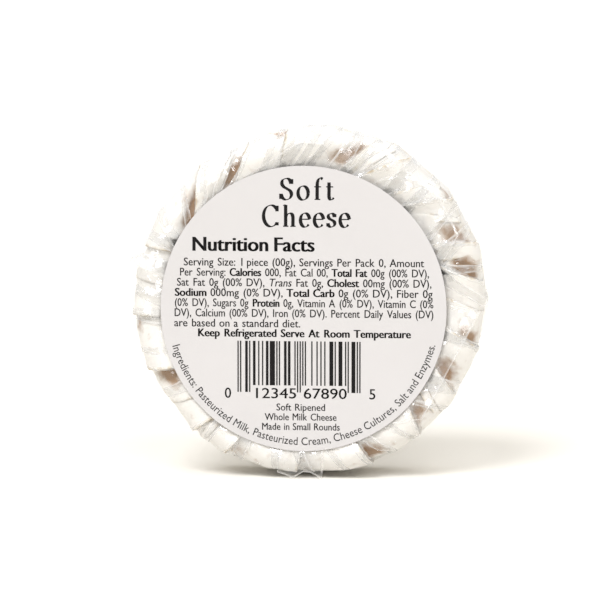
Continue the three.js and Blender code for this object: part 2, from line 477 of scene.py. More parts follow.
# The film's main folds, in the same way; it lies too close to the paper to open into hollows.
FILM_FOLDS = (
    (3, 0.4, 12, 0, -2), (27, 0.1, -7, 0, -3), (55, 0.2, 7, 0, -4), (76, 0.6, 8, 0, -6),
    (92, 0.9, 22, 0, -4), (118, 0.1, 20, 0, -2), (150, 0.3, 10, 0, -5), (167, 2.0, 4, 0, -8),
    (186, 0.2, 8, 0, -3), (214, 0, 4, 0, -2), (247, 0, 0, 0, -3), (272, 0.1, -4, 0, -5),
    (301, 0.1, -10, 0, -3), (333, 0.2, -4, 0, -4),
)

# How an outer flap is laid out and stretched, in millimetres unless it says otherwise.
FLAP_SPACING = 1.3           # between columns, as a multiple of the film's fineness
FLAP_ROWS = 22
FLAP_LENGTH = 9.0            # inwards, as far as its facets go by
FLAP_SPARE = 8               # columns by which its facets' pattern is longer than it is
FLAP_TUCKED = 1.6            # how far it goes in under the label
FLAP_FREE = 2.0              # its depth where nothing lies beneath it
FLAP_STRETCHES = 80          # passes that pull it taut
FLAP_PRESSED_IN = 0.8        # how far inside the label's edge it is pressed down fully
FLAP_PRESSED_OUT = 1.5       # and how far outside it the pressing starts
FLAP_CLEAR = 0.05            # its distance from the label's back
# Painted highlight: white drawn next to a flap's cut edges.
NEAR_EDGE_WHITE = 0.6        # how white it is next to its cut edges, where they themselves are 1
RAY_DEPTH = 40.0             # in front of the wheel, where rays that look beneath it start
# The film's outer flaps: corners as distance from the label's middle and degrees, clockwise.
FILM_FLAPS = (
    ((34.5, 121.5), (41.2, 91), (40.9, 83), (34.5, 78)),
    ((34.5, 62), (42.6, 54.5), (43.2, 40), (42.2, 26), (34.5, 17)),
    ((34.5, 3), (43.4, 0), (39.6, -42.5), (34.5, -55)),
    ((34.5, 176), (42.4, 174), (43.6, 164), (42.6, 155), (34.5, 147)),
    ((34.5, 278), (38.6, 277.5), (42.3, 276), (40.6, 272.5), (40.3, 270), (42.0, 266.5),
     (41.0, 261), (34.5, 259)),
)


def flap_edge(corners, spacing):
    """Points along a flap's straight outer edges, from its first corner to its last."""
    turns = [radius * np.array([math.cos(math.radians(degrees)), math.sin(math.radians(degrees))])
             for radius, degrees in corners]
    outer = []
    for start, end in zip(turns, turns[1:]):
        steps = max(2, int(np.linalg.norm(end - start) / spacing))
        outer += [start + (end - start) * k / steps for k in range(steps)]
    return np.array([*outer, turns[-1]])


def film_flap(beneath, corners, look, seed):
    """An outer flap of film: straight edges between its corners, tucked in under the label. It
    spans what lies beneath it as a stretched skin does, and is crumpled a little. Gives its points
    and how sharply it is creased at each."""
    spacing = look.fineness * FLAP_SPACING
    outer = flap_edge(corners, spacing)
    angle = np.arctan2(outer[:, 1], outer[:, 0])
    inner = (LABEL_RADIUS - FLAP_TUCKED) * np.stack([np.cos(angle), np.sin(angle)], -1)
    inwards = np.linspace(0, 1, FLAP_ROWS)[:, None, None]
    x, z = np.moveaxis(outer + (inner - outer) * inwards, -1, 0)

    start = label_points(x, z, np.full(x.shape, RAY_DEPTH)).reshape(-1, 3)
    hits = [beneath.ray_cast(Vector(p), Vector((0, 1, 0)))[0] for p in start]
    rest = np.array([FLAP_FREE if h is None else (CENTRE.y - h.y) / MM + look.flap_gap
                     for h in hits]).reshape(x.shape)
    depth = rest
    for _ in range(FLAP_STRETCHES):
        wide = np.pad(depth, 1, mode="edge")
        mean = (wide[2:, 1:-1] + wide[:-2, 1:-1] + wide[1:-1, 2:] + wide[1:-1, :-2]) / 4
        depth = np.maximum(rest, mean)
    u = np.broadcast_to(np.arange(x.shape[1]) * spacing, x.shape)
    v = np.broadcast_to(inwards[..., 0] * FLAP_LENGTH, x.shape)
    facets = crumple(u, v, (x.shape[1] + FLAP_SPARE) * spacing, look.flap_facet, seed)
    under = 1 - smoothstep(
        LABEL_RADIUS - FLAP_PRESSED_IN, LABEL_RADIUS + FLAP_PRESSED_OUT, np.hypot(x, z))
    depth = depth + look.flap_height * (1 + facets) * (1 - under)
    depth = depth + (np.minimum(depth, LABEL_BACK - FLAP_CLEAR) - depth) * under
    points = label_points(x, z, depth)
    points[..., 2] = np.maximum(points[..., 2], look.above_floor * MM)
    bent = creases(points)
    # Painted highlight: its cut edges are drawn white, as a crease is, where they would catch the
    # light.
    bent[:, 1] = bent[:, -2] = bent[1, :] = NEAR_EDGE_WHITE
    bent[:, 0] = bent[:, -1] = bent[0, :] = 1.0
    return points, bent


def open_grid_faces(row_count, column_count):
    """Quads between rows that stop at their ends."""
    corners = [(r * column_count + c, r * column_count + c + 1)
               for r in range(row_count - 1) for c in range(column_count - 1)]
    return [(a, b, b + column_count, a + column_count) for a, b in corners]


def add_flaps(film, beneath, look):
    """Joins the outer flaps to the film's mesh."""
    bm = bmesh.new()
    bm.from_mesh(film.data)
    crease = bm.verts.layers.float["crease"]
    for k, corners in enumerate(FILM_FLAPS):
        points, bent = film_flap(beneath, corners, look, look.seed + 31 + k)
        made = [bm.verts.new(p) for p in points.reshape(-1, 3)]
        for vertex, value in zip(made, bent.ravel()):
            vertex[crease] = value
        for face in open_grid_faces(*bent.shape):
            bm.faces.new([made[v] for v in face]).smooth = True
    bm.to_mesh(film.data)
    bm.free()


# ---------------------------------------------------------------- printing, in millimetres

FONT_CAPITAL = 0.682     # height of a capital of the built-in font at size 1
PLAIN_STRIKES = (-0.014, 0.014)          # of a capital's height, sideways
BOLD_STRIKES = (-0.05, -0.025, 0.0, 0.025, 0.05)
ITALIC_SLANT = 0.2

NIB_WIDTH = 0.17         # of a capital's height, as are all the pen letters' sizes
NIB_ANGLE = math.radians(18)
NIB_THIN = 0.045
PEN_CONDENSE = 0.87
SMALL_S = [(0.41, 0.48), (0.34, 0.60), (0.22, 0.63), (0.10, 0.58), (0.07, 0.47), (0.14, 0.38),
           (0.26, 0.32), (0.38, 0.25), (0.42, 0.14), (0.35, 0.03), (0.22, -0.01), (0.10, 0.04),
           (0.04, 0.15)]

# Each letter's advance and its pen strokes. A stroke of two points is straight.
PEN_LETTERS = {
    "S": (0.76, [
        [(x * 1.5 + 0.02, y * 1.58) for x, y in SMALL_S],
        [(0.66, 0.74), (0.66, 0.97)], [(0.07, 0.02), (0.07, 0.27)]]),
    "C": (0.95, [
        [(0.47 + 0.41 * math.cos(a), 0.5 + 0.51 * math.sin(a))
         for a in np.radians(np.linspace(42, 322, 15))],
        [(0.80, 0.72), (0.80, 0.99)], [(0.80, 0.05), (0.80, 0.2)]]),
    "o": (0.72, [
        [(0.34 + 0.28 * math.cos(a), 0.31 + 0.33 * math.sin(a))
         for a in np.radians(np.linspace(0, 360, 17))]]),
    "e": (0.64, [
        [(0.32 + 0.25 * math.cos(a), 0.31 + 0.33 * math.sin(a))
         for a in np.radians(np.linspace(8, 322, 15))],
        [(0.08, 0.35), (0.57, 0.35)]]),
    "f": (0.46, [
        [(0.20, 0.0), (0.20, 0.45), (0.21, 0.78), (0.27, 0.95), (0.38, 1.03), (0.50, 0.98)],
        [(0.04, 0.61), (0.42, 0.61)], [(0.06, 0.01), (0.37, 0.01)]]),
    "t": (0.48, [
        [(0.20, 0.82), (0.20, 0.45), (0.20, 0.14), (0.26, 0.02), (0.37, 0.01), (0.46, 0.09)],
        [(0.04, 0.61), (0.43, 0.61)]]),
    "h": (0.82, [
        [(0.20, 0.0), (0.20, 1.03)], [(0.06, 1.0), (0.2, 1.04)],
        [(0.20, 0.44), (0.29, 0.57), (0.42, 0.63), (0.55, 0.58), (0.60, 0.44), (0.60, 0.2),
         (0.60, 0.0)],
        [(0.06, 0.01), (0.35, 0.01)], [(0.46, 0.01), (0.75, 0.01)]]),
    "s": (0.52, [SMALL_S, [(0.42, 0.46), (0.42, 0.61)], [(0.05, 0.01), (0.05, 0.17)]]),
}

# Lines of print: the words, where they start and end, and the baseline, from the label's middle.
TITLE_LINES = (("Soft", -5.7, 7.6, 26.8), ("Cheese", -9.9, 11.6, 20.2))
HEADING = ("*Nutrition *Facts", -27.3, 2.7, 14.1)
STORAGE_LINE = ("*Keep *Refrigerated *Serve *At *Room *Temperature", -25.9, 26.3, -6.9)
BODY_BASELINE = 10.5
BODY_LINES = (
    ("Serving Size: 1 piece (00g), Servings Per Pack 0, Amount", -29.3, 29.5),
    ("Per Serving: *Calories 000, Fat Cal 00, *Total *Fat 00g (00% DV),", -30.3, 30.7),
    ("Sat Fat 0g (00% DV), /Trans Fat 0g, *Cholest 00mg (00% DV),", -31.0, 31.3),
    ("*Sodium 000mg (0% DV), *Total *Carb 0g (0% DV), Fiber 0g", -31.5, 31.6),
    ("(0% DV), Sugars 0g *Protein 0g, Vitamin A (0% DV), Vitamin C (0%", -31.6, 31.8),
    ("DV), Calcium (00% DV), Iron (0% DV). Percent Daily Values (DV)", -31.7, 31.8),
    ("are based on a standard diet.", -31.7, -0.7),
)
FOOT_BASELINE = -25.0
FOOT_SPACING = 2.4
FOOT_LINES = (
    ("Soft Ripened", -6.6, 5.4),
    ("Whole Milk Cheese", -9.4, 8.2),
    ("Made in Small Rounds", -10.2, 9.0),
)
CURVED_LINE = "Ingredients: Pasteurized Milk, Pasteurized Cream, Cheese Cultures, Salt and Enzymes."
CURVED_FROM, CURVED_TO = math.radians(196), math.radians(345)
HEADING_GAP, BODY_GAP, STORAGE_GAP, FOOT_GAP = 1.4, 1.0, 1.1, 0.8      # between words

# A retail bar code: bar and space widths for each digit, in modules, and a placeholder number.
DIGIT_WIDTHS = ("3211", "2221", "2122", "1411", "1132", "1231", "1114", "1312", "1213", "3112")
BAR_CODE = "012345678905"
BARS_LEFT, BARS_TOP, BARS_FOOT, GUARDS_FOOT = -16.1, -7.9, -18.8, -20.5
BARS_WIDTH = 30.2
BAR_LENGTHS = 8          # short lengths that each bar is made of
DIGITS_BASELINE, DIGITS_CAPITAL = -22.0, 2.5
# Groups of digits below the bars: from which digit to which, and from where to where.
DIGIT_GROUPS = ((0, 1, -3.2, -1.6), (1, 6, 3.7, 14.4), (6, 11, 16.1, 26.8), (11, 12, 32.2, 33.8))


class Ink:
    """Flat shapes to be printed on the label, in millimetres from its middle."""
    def __init__(self):
        self.points, self.faces, self.count = [], [], 0

    def add(self, points, faces):
        self.faces += [tuple(int(v) + self.count for v in face) for face in faces]
        self.points.append(np.asarray(points, float))
        self.count += len(points)


def letters(text, slant=0.0):
    """A word's points and faces in the built-in font at size 1."""
    font = bpy.data.curves.new("letters", "FONT")
    font.body, font.shear, font.resolution_u = text, slant, 3
    holder = bpy.data.objects.new("letters", font)
    mesh = holder.to_mesh()
    points = np.array([v.co[:2] for v in mesh.vertices])
    faces = [tuple(p.vertices) for p in mesh.polygons]
    holder.to_mesh_clear()
    bpy.data.objects.remove(holder)
    bpy.data.curves.remove(font)
    return points, faces


def print_line(ink, text, left, right, baseline, capital, gap):
    """Prints a line that fills the width from left to right. A word that starts with * is bold, and
    one that starts with / is italic."""
    words = [(*letters(word.lstrip("*/"), ITALIC_SLANT if word[0] == "/" else 0), word[0] == "*")
             for word in text.split()]
    widths = [points[:, 0].max() for points, _, _ in words]
    squeeze = (right - left - gap * (len(words) - 1)) / sum(widths)
    for (points, faces, bold), width in zip(words, widths):
        for strike in BOLD_STRIKES if bold else PLAIN_STRIKES:
            at = (left + strike * capital, baseline)
            ink.add(points * (squeeze, capital / FONT_CAPITAL) + at, faces)
        left += width * squeeze + gap


def print_curved(ink, text, radius, start, end, capital):
    """Prints a line round the lower edge with its feet outwards, from one angle to another."""
    points, faces = letters(text)
    angle = start + (end - start) * points[:, 0] / points[:, 0].max()
    reach = radius - points[:, 1] * capital / FONT_CAPITAL
    ink.add(np.stack([reach * np.cos(angle), reach * np.sin(angle)], -1), faces)


def rounded(stroke, steps=6):
    """A smooth curve through a stroke's points."""
    p = np.array(stroke, float)
    if len(p) == 2:
        return p
    padded = np.concatenate([[2 * p[0] - p[1]], p, [2 * p[-1] - p[-2]]])
    t = np.linspace(0, 1, steps, endpoint=False)[:, None]
    parts = []
    for a, b, c, d in zip(padded, padded[1:], padded[2:], padded[3:]):
        parts.append(0.5 * (2 * b + (c - a) * t + (2 * a - 5 * b + 4 * c - d) * t ** 2
                            + (3 * b - a - 3 * c + d) * t ** 3))
    return np.concatenate([*parts, p[-1:]])


def print_title(ink, text, left, right, baseline, capital):
    """Prints a word in broad-nibbed pen letters, spaced out to fill the width."""
    natural = sum(PEN_LETTERS[c][0] for c in text) * capital * PEN_CONDENSE
    spacing = (right - left - natural) / (len(text) - 1)
    for character in text:
        advance, strokes = PEN_LETTERS[character]
        for stroke in strokes:
            line = rounded(stroke) * (PEN_CONDENSE, 1)
            way = np.gradient(line, axis=0)
            way /= np.linalg.norm(way, axis=1, keepdims=True)
            slope = np.arctan2(way[:, 1], way[:, 0]) - NIB_ANGLE
            half = np.maximum(NIB_WIDTH * np.abs(np.sin(slope)), NIB_THIN)[:, None] / 2
            side = np.stack([-way[:, 1], way[:, 0]], -1) * half
            count = len(line)
            faces = [(count + k, count + k + 1, k + 1, k) for k in range(count - 1)]
            ink.add(np.concatenate([line + side, line - side]) * capital + (left, baseline), faces)
        left += advance * capital * PEN_CONDENSE + spacing


def print_bars(ink, right):
    """Prints the bar code's bars, in short lengths so that they follow the label."""
    middle = len(BAR_CODE) // 2
    widths = ["111"]
    for i, digit in enumerate(BAR_CODE):
        widths.append(DIGIT_WIDTHS[int(digit)])
        if i == middle - 1:
            widths.append("11111")
    widths.append("111")
    module = (right - BARS_LEFT) / sum(int(w) for group in widths for w in group)
    long_groups = (0, 1, middle + 1, len(widths) - 2, len(widths) - 1)
    bar, at = True, BARS_LEFT
    for i, group in enumerate(widths):
        for w in group:
            wide = int(w) * module
            if bar:
                low = GUARDS_FOOT if i in long_groups else BARS_FOOT
                heights = np.linspace(low, BARS_TOP, BAR_LENGTHS + 1)
                points = [(x, z) for z in heights for x in (at, at + wide)]
                starts = range(0, 2 * BAR_LENGTHS, 2)
                ink.add(points, [(k, k + 1, k + 3, k + 2) for k in starts])
            at += wide
            bar = not bar


# ---------------------------------------------------------------- materials

def linear(code, alpha=1.0):
    """A linear colour from an sRGB hex code."""
    parts = [int(code[i:i + 2], 16) / 255 for i in (1, 3, 5)]
    curve = [p / 12.92 if p <= 0.04045 else ((p + 0.055) / 1.055) ** 2.4 for p in parts]
    return (*curve, alpha)


def add_node(tree, kind, inputs=None, **settings):
    """A node with its settings, and its sockets set to values or linked from other sockets."""
    made = tree.nodes.new(kind)
    for name, value in settings.items():
        setattr(made, name, value)
    for socket, value in (inputs or {}).items():
        if isinstance(value, bpy.types.NodeSocket):
            tree.links.new(value, made.inputs[socket])
        else:
            made.inputs[socket].default_value = value
    return made


def new_material(name):
    """A material without nodes, its node tree, and places on the object to lay patterns by."""
    made = bpy.data.materials.new(name)
    made.use_nodes = True
    made.node_tree.nodes.clear()
    where = add_node(made.node_tree, "ShaderNodeTexCoord").outputs["Object"]
    return made, made.node_tree, where


def finish_material(tree, surface):
    add_node(tree, "ShaderNodeOutputMaterial", {"Surface": surface})


def per_metre(millimetres):
    """The scale that gives a pattern features of a real size."""
    return 1.0 / (millimetres * MM)


def noise(tree, where, millimetres, detail, **inputs):
    """Noise with features of a real size."""
    values = {"Vector": where, "Scale": per_metre(millimetres), "Detail": detail, **inputs}
    return add_node(tree, "ShaderNodeTexNoise", values).outputs["Fac"]


def attribute(tree, name):
    """A value that the mesh holds at each of its points."""
    return add_node(tree, "ShaderNodeAttribute", attribute_name=name).outputs["Fac"]


def stretched(tree, value, low=0.0, high=1.0, start=0.0, end=1.0):
    """A value that goes from start to end as another goes from low to high."""
    return add_node(tree, "ShaderNodeMapRange", {
        "Value": value, "From Min": low, "From Max": high, "To Min": start, "To Max": end,
    }).outputs["Result"]


def maths(tree, operation, first, second, **settings):
    inputs = {0: first, 1: second}
    return add_node(tree, "ShaderNodeMath", inputs, operation=operation, **settings).outputs[0]


def blend(tree, factor, first, second):
    """A colour between two others."""
    inputs = {0: factor, 6: first, 7: second}
    return add_node(tree, "ShaderNodeMix", inputs, data_type="RGBA").outputs[2]


def mix_shader(tree, factor, first, second):
    return add_node(tree, "ShaderNodeMixShader", {0: factor, 1: first, 2: second}).outputs[0]


def bump(tree, height, strength, millimetres):
    """Normals that follow a pattern of a real height."""
    return add_node(tree, "ShaderNodeBump", {
        "Height": height, "Strength": strength, "Distance": millimetres * MM,
    }).outputs["Normal"]


def mould_rind(settings):
    """White mould rind (a felt of Penicillium on a soft curd): matt and velvety, cream where the
    felt is thin and tan where handling has rubbed it."""
    made, tree, where = new_material("white_mould_rind")
    patchy = stretched(tree, noise(tree, where, 9, 4.0, Roughness=0.6), 0.48, 0.66)
    colour = blend(tree, patchy, settings.felt_colour, settings.worn_colour)
    felt = bump(tree, noise(tree, where, 0.5, 3.0), 0.5, 0.15)
    surface = add_node(tree, "ShaderNodeBsdfPrincipled", {
        "Base Color": colour, "Roughness": 0.92, "IOR": 1.45, "Sheen Weight": 0.3,
        "Sheen Roughness": 0.6, "Normal": felt})
    finish_material(tree, surface.outputs[0])
    return made


def waxed_cheese_paper(settings):
    """Bleached kraft cheese paper, lightly waxed: white and soft-looking, with faint fibres; cream
    where it lies low against the rind, for dampened paper and painted shade in the pleats' valleys;
    painted tan shade along its sharp creases; and brown painted shade deep in a hollow."""
    made, tree, where = new_material("waxed_cheese_paper")
    patches = stretched(tree, noise(tree, where, 7, 5.0, Roughness=0.65), 0.52, 0.75)
    # Painted shade and dampness: a cream tint on low places against the rind, for dampened paper and
    # for shade in the pleats' valleys.
    damp_and_shade = maths(tree, "MULTIPLY", attribute(tree, "damp_and_valley_shade"), patches, use_clamp=True)
    colour = blend(tree, damp_and_shade, settings.paper_colour, settings.damp_and_valley_shade_colour)
    broken = noise(tree, where, 2.5, 3.0)
    # Painted shade: a darker tan along the paper's sharp creases, broken up in patches.
    patchy = stretched(tree, broken, 0.45, 0.62, end=0.75)
    edge = maths(tree, "MULTIPLY", attribute(tree, "crease"), patchy)
    colour = blend(tree, edge, colour, settings.crease_shade_colour)
    # Painted shade: brown deep in each hollow, where the fold above shades it, broken up by noise.
    ragged = maths(tree, "ADD", attribute(tree, "hollow"), broken)
    colour = blend(tree, stretched(tree, ragged, 0.62, 1.05), colour, settings.hollow_shade_colour)
    fibres = bump(tree, noise(tree, where, 0.6, 4.0, Distortion=1.5), 0.35, 0.08)
    surface = add_node(tree, "ShaderNodeBsdfPrincipled", {
        "Base Color": colour, "Roughness": 0.55, "IOR": 1.5, "Normal": fibres})
    finish_material(tree, surface.outputs[0])
    return made


def clear_film(settings):
    """Cast polypropylene film, pleated and crushed: see-through and glossy on both faces, with bright
    glints, and white along its creases that is partly stress whitening and partly a painted
    highlight."""
    made, tree, where = new_material("clear_polypropylene_film")
    rippled = bump(tree, noise(tree, where, 2.2, 3.0), 0.5, 0.2)
    # Flat facets: in each cell the height is a slope of its own.
    facets = add_node(tree, "ShaderNodeTexVoronoi", {"Vector": where, "Scale": per_metre(2.4)})
    tilt = add_node(tree, "ShaderNodeVectorMath", {
        0: facets.outputs["Color"], 1: (0.5, 0.5, 0.5)}, operation="SUBTRACT")
    within = add_node(tree, "ShaderNodeVectorMath", {
        0: where, 1: facets.outputs["Position"]}, operation="SUBTRACT")
    tilted = add_node(tree, "ShaderNodeVectorMath", {
        0: tilt.outputs[0], 1: within.outputs[0]}, operation="DOT_PRODUCT")
    faceted = add_node(tree, "ShaderNodeBump", {
        "Height": tilted.outputs["Value"], "Strength": 0.8, "Distance": 1.0,
        "Normal": rippled}).outputs["Normal"]
    gloss = add_node(tree, "ShaderNodeBsdfGlossy", {
        "Color": (1, 1, 1, 1), "Roughness": 0.06, "Normal": faceted})
    clear = add_node(tree, "ShaderNodeBsdfTransparent", {"Color": settings.film_colour})
    lit = add_node(tree, "ShaderNodeBsdfDiffuse", {"Color": settings.crease_white_and_glint_colour})
    passed = add_node(tree, "ShaderNodeBsdfTranslucent", {"Color": settings.crease_white_and_glint_colour})
    whitened_and_glinting = mix_shader(tree, 0.3, lit.outputs[0], passed.outputs[0])
    slant = add_node(tree, "ShaderNodeLayerWeight", {"Blend": 0.5, "Normal": faceted})
    steep = maths(tree, "POWER", slant.outputs["Facing"], 5.0)
    shine = stretched(tree, steep, start=settings.face_on_shine, end=settings.slanting_shine)
    see_through = mix_shader(tree, shine, clear.outputs[0], gloss.outputs[0])
    # Creases are drawn white: partly real stress whitening, partly a painted highlight.
    white = stretched(tree, attribute(tree, "crease"), start=settings.haze, end=settings.crease_white_and_glint)
    finish_material(tree, mix_shader(tree, white, see_through, whitened_and_glinting))
    return made


def label_stock(settings):
    """Semi-gloss label paper (clay-coated, machine-finished): smooth and even, a cool white with
    soft broad sheen."""
    made, tree, where = new_material("semi_gloss_label_paper")
    cloud = noise(tree, where, 18, 2.0)
    colour = blend(tree, cloud, settings.stock_colour, settings.stock_shade)
    grain = bump(tree, noise(tree, where, 0.4, 2.0), 0.1, 0.02)
    surface = add_node(tree, "ShaderNodeBsdfPrincipled", {
        "Base Color": colour, "Roughness": 0.42, "IOR": 1.5, "Normal": grain})
    finish_material(tree, surface.outputs[0])
    return made


def printing_ink(settings):
    """Black flexographic ink on coated paper: a thin, slightly uneven black with a low shine."""
    made, tree, where = new_material("black_flexo_ink")
    speckle = noise(tree, where, 0.35, 2.0)
    colour = blend(tree, speckle, settings.ink_colour, settings.ink_thin_colour)
    surface = add_node(tree, "ShaderNodeBsdfPrincipled", {
        "Base Color": colour, "Roughness": 0.7, "IOR": 1.33})
    finish_material(tree, surface.outputs[0])
    return made


def sweep_paper(settings):
    """Seamless studio background paper: matt and pale, with a faint tooth."""
    made, tree, where = new_material("seamless_background_paper")
    tooth = bump(tree, noise(tree, where, 1.5, 2.0), 0.05, 0.05)
    surface = add_node(tree, "ShaderNodeBsdfDiffuse", {
        "Color": settings.floor_colour, "Roughness": 0.6, "Normal": tooth})
    finish_material(tree, surface.outputs[0])
    return made


# ---------------------------------------------------------------- settings

def a_length(name, millimetres, description):
    return FloatProperty(
        name=name, default=millimetres * MM, unit="LENGTH", precision=5, description=description)


def a_share(name, default, description):
    return FloatProperty(name=name, default=default, description=description)


def a_number(name, default, description):
    return IntProperty(name=name, default=default, description=description)


def a_colour(name, code, description):
    return FloatVectorProperty(
        name=name, default=linear(code), size=4, min=0, max=1, subtype="COLOR",
        description=description)


def in_millimetres(settings):
    """The settings' values by name, with lengths in millimetres."""
    look = SimpleNamespace()
    for prop in settings.bl_rna.properties:
        if prop.identifier not in ("rna_type", "name"):
            value = getattr(settings, prop.identifier)
            is_length = getattr(prop, "unit", "NONE") == "LENGTH"
            setattr(look, prop.identifier, value / MM if is_length else value)
    return look


class CheeseSettings(bpy.types.PropertyGroup):
    lump: a_length("Lumps", 0.35, "Height of the soft unevenness of the cheese's surface")
    lump_spacing: a_length("Lump spacing", 11, "Usual distance between lumps")
    felt_colour: a_colour("Felt", "#efe9dc", "The white mould felt")
    worn_colour: a_colour("Worn felt", "#c9ad84", "Where the felt is thin or rubbed")


# The settings that both sheets have: name, kind and description.
SHEET_SETTINGS = {
    "offset": ("Offset", a_length, "Distance from the cheese to where the sheet lies closest"),
    "outline_offset": ("Outline offset", a_length, "Offset that the outline already holds"),
    "squareness": ("Squareness", a_share, "How crisply the sheet turns over the wheel's edges"),
    "opening": ("Opening", a_length, "Radius at which the gathered sheet ends under the label"),
    "fineness": ("Fineness", a_length, "Distance between rows of the mesh where it shows"),
    "pleat_start": ("Pleat start", a_length, "How far behind the rim the pleats begin"),
    "between_low": ("Fewest between", a_number, "Fewest small pleats between main ones"),
    "between_high": ("Most between", a_number, "Most small pleats between main ones"),
    "layer": ("Layer", a_length, "Distance kept between layers of the sheet"),
    "large_facet": ("Large facets", a_length, "Usual size of the large flat facets"),
    "large_height": ("Large facet height", a_length, "Height of the large facets"),
    "small_facet": ("Small facets", a_length, "Usual size of the small flat facets"),
    "small_height": ("Small facet height", a_length, "Height of the small facets"),
    "back_crumple": ("Crumple at the back", a_share, "Share of the facets' height at the back"),
    "puff": ("Puff", a_length, "How far the gathered sheet stands off the cheese's shoulder"),
    "lift_low": ("Least lift", a_length, "Least height of a pleat's fold"),
    "lift_high": ("Most lift", a_length, "Most height of a pleat's fold"),
    "lean_spread": ("Lean spread", a_share, "How much the lean varies, in degrees"),
    "under_label": ("Under the label", a_length, "Least distance from the label's back"),
    "above_floor": ("Above the floor", a_length, "Least height above the floor"),
    "seed": ("Seed", a_number, "Which pattern of creases is drawn"),
}


def sheet_settings(**defaults):
    """Gives a group the settings that both sheets have, with its own defaults."""
    def added(group):
        for key, (name, kind, description) in SHEET_SETTINGS.items():
            group.__annotations__[key] = kind(name, defaults[key], description)
        return group
    return added


@sheet_settings(
    offset=0.35, outline_offset=0.65, squareness=0.8, opening=22, fineness=0.45, pleat_start=1,
    between_low=0, between_high=1, layer=0.1, large_facet=6.5, large_height=0.42,
    small_facet=2.4, small_height=0.13, back_crumple=0.2, puff=1.5, lift_low=0.5,
    lift_high=1.05, lean_spread=2.0, under_label=0.4, above_floor=0.4, seed=11)
class PaperSettings(bpy.types.PropertyGroup):
    paper_colour: a_colour("Paper", "#faf8f5", "The dry paper")
    # Partly painted shade: the cream of dampened paper and of shade low in the pleats' valleys.
    damp_and_valley_shade_colour: a_colour("Damp paper and valley shade", "#e9dcc2", "The paper where it touches the rind")
    # Painted shade: the brown deep in a hollow.
    hollow_shade_colour: a_colour("Hollow shade", "#a07a52", "Painted shade deep in a hollow")
    # Painted shade along the paper's sharp folds.
    crease_shade_colour: a_colour("Fold edges", "#d6c6a8", "Painted shade along a sharp fold")


@sheet_settings(
    offset=0.6, outline_offset=0.9, squareness=0.85, opening=20, fineness=0.42, pleat_start=3,
    between_low=1, between_high=2, layer=0.1, large_facet=5.5, large_height=0.55,
    small_facet=2.5, small_height=0.36, back_crumple=0.5, puff=1.5, lift_low=0.15,
    lift_high=0.7, lean_spread=2.5, under_label=0.1, above_floor=0.05, seed=23)
class FilmSettings(bpy.types.PropertyGroup):
    flap_gap: a_length("Flap gap", 0.15, "Distance from an outer flap to the film beneath it")
    flap_facet: a_length("Flap facets", 2.1, "Usual size of an outer flap's facets")
    flap_height: a_length("Flap facet height", 0.3, "Height of an outer flap's facets")
    film_colour: a_colour("Film", "#ffffff", "What the film lets through")
    # White along a crease: stress whitening, and a painted highlight.
    crease_white_and_glint_colour: a_colour("Crease white and glint", "#ffffff", "White along a crease: stress whitening and painted highlight")
    face_on_shine: a_share("Shine face on", 0.08, "Share of light that the film reflects face on")
    slanting_shine: a_share("Shine at a slant", 0.45, "Share reflected at a glancing angle")
    haze: a_share("Haze", 0.02, "Share of white in the flat film")
    # Share of that white along a sharp crease: stress whitening and painted highlight.
    crease_white_and_glint: a_share("Strain", 0.55, "Share of white along a sharp crease")


class LabelSettings(bpy.types.PropertyGroup):
    thickness: a_length("Thickness", 0.2, "Thickness of the label and its glue")
    wave: a_length("Wave", 0.16, "Height of the waves that the pleats beneath give the label")
    stock_colour: a_colour("Stock", "#e2e0e2", "The label paper")
    stock_shade: a_colour("Stock shade", "#dcdadc", "The label paper where it clouds")


class PrintSettings(bpy.types.PropertyGroup):
    above: a_length("Height", 0.03, "How far the print stands in front of the label")
    title_capital: a_length("Title capitals", 5.1, "Height of the title's capitals")
    heading_capital: a_length("Heading capitals", 3.4, "Height of the heading's capitals")
    body_capital: a_length("Body capitals", 1.9, "Height of the small print's capitals")
    line_spacing: a_length("Line spacing", 2.5, "Distance between lines of small print")
    foot_capital: a_length("Foot capitals", 1.7, "Height of the capitals of the lines at the foot")
    curved_radius: a_length("Curved line", 33.5, "Radius of the curved line's baseline")
    bar_code_width: a_length("Bar code width", BARS_WIDTH, "Width of the bar code")
    ink_colour: a_colour("Ink", "#060506", "The print")
    ink_thin_colour: a_colour("Thin ink", "#121011", "The print where the ink is thin")


class StageSettings(bpy.types.PropertyGroup):
    floor_size: a_length("Floor size", 60000, "Width of the floor")
    floor_colour: a_colour("Floor", "#faf8f4", "The background paper")
    distance: a_length("Camera distance", 800, "From the camera to the label")
    lens: FloatProperty(name="Lens", default=192, description="Focal length in millimetres")
    azimuth: a_share("Azimuth", 5, "Degrees by which the camera stands to the right")
    elevation: a_share("Elevation", 6, "Degrees by which the camera looks down")


# ---------------------------------------------------------------- pieces

def dress(piece, material, slot, *replaced):
    """Gives a piece its material and its body, and hides the CAD nodes that it stands for."""
    piece.data.materials.append(material)
    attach(piece, "root")
    if replaced:
        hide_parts(*replaced)


def wavy_front(x, z, wave):
    """Depth of the label's front at a point from its middle: it follows the pleats a little, most
    of all near its edge."""
    reach, angle = np.hypot(x, z) / LABEL_RADIUS, np.arctan2(z, x)
    ripple = np.sin(5 * angle + 0.6) + 0.6 * np.sin(9 * angle + 2.1) + 0.4 * np.sin(14 * angle)
    broad = np.sin(x / 9 + 0.4) * np.cos(z / 11 - 0.7)
    return LABEL_FRONT + wave * (0.55 * ripple * reach ** 3 + 0.5 * broad)


def label_points(x, z, depth):
    """Points in metres from places on the label, measured from its middle."""
    return np.stack([
        CENTRE.x + (LABEL_X + x) * MM,
        CENTRE.y - depth * MM,
        CENTRE.z + (LABEL_Z + z) * MM,
    ], axis=-1)


CHEESE_ROWS, CHEESE_COLUMNS = 90, 240
CHEESE_OPENING = 3.0         # radius of the one face at the middle of each side
LUMP_SEED = 3
LABEL_RINGS, LABEL_SPOKES = 44, 220


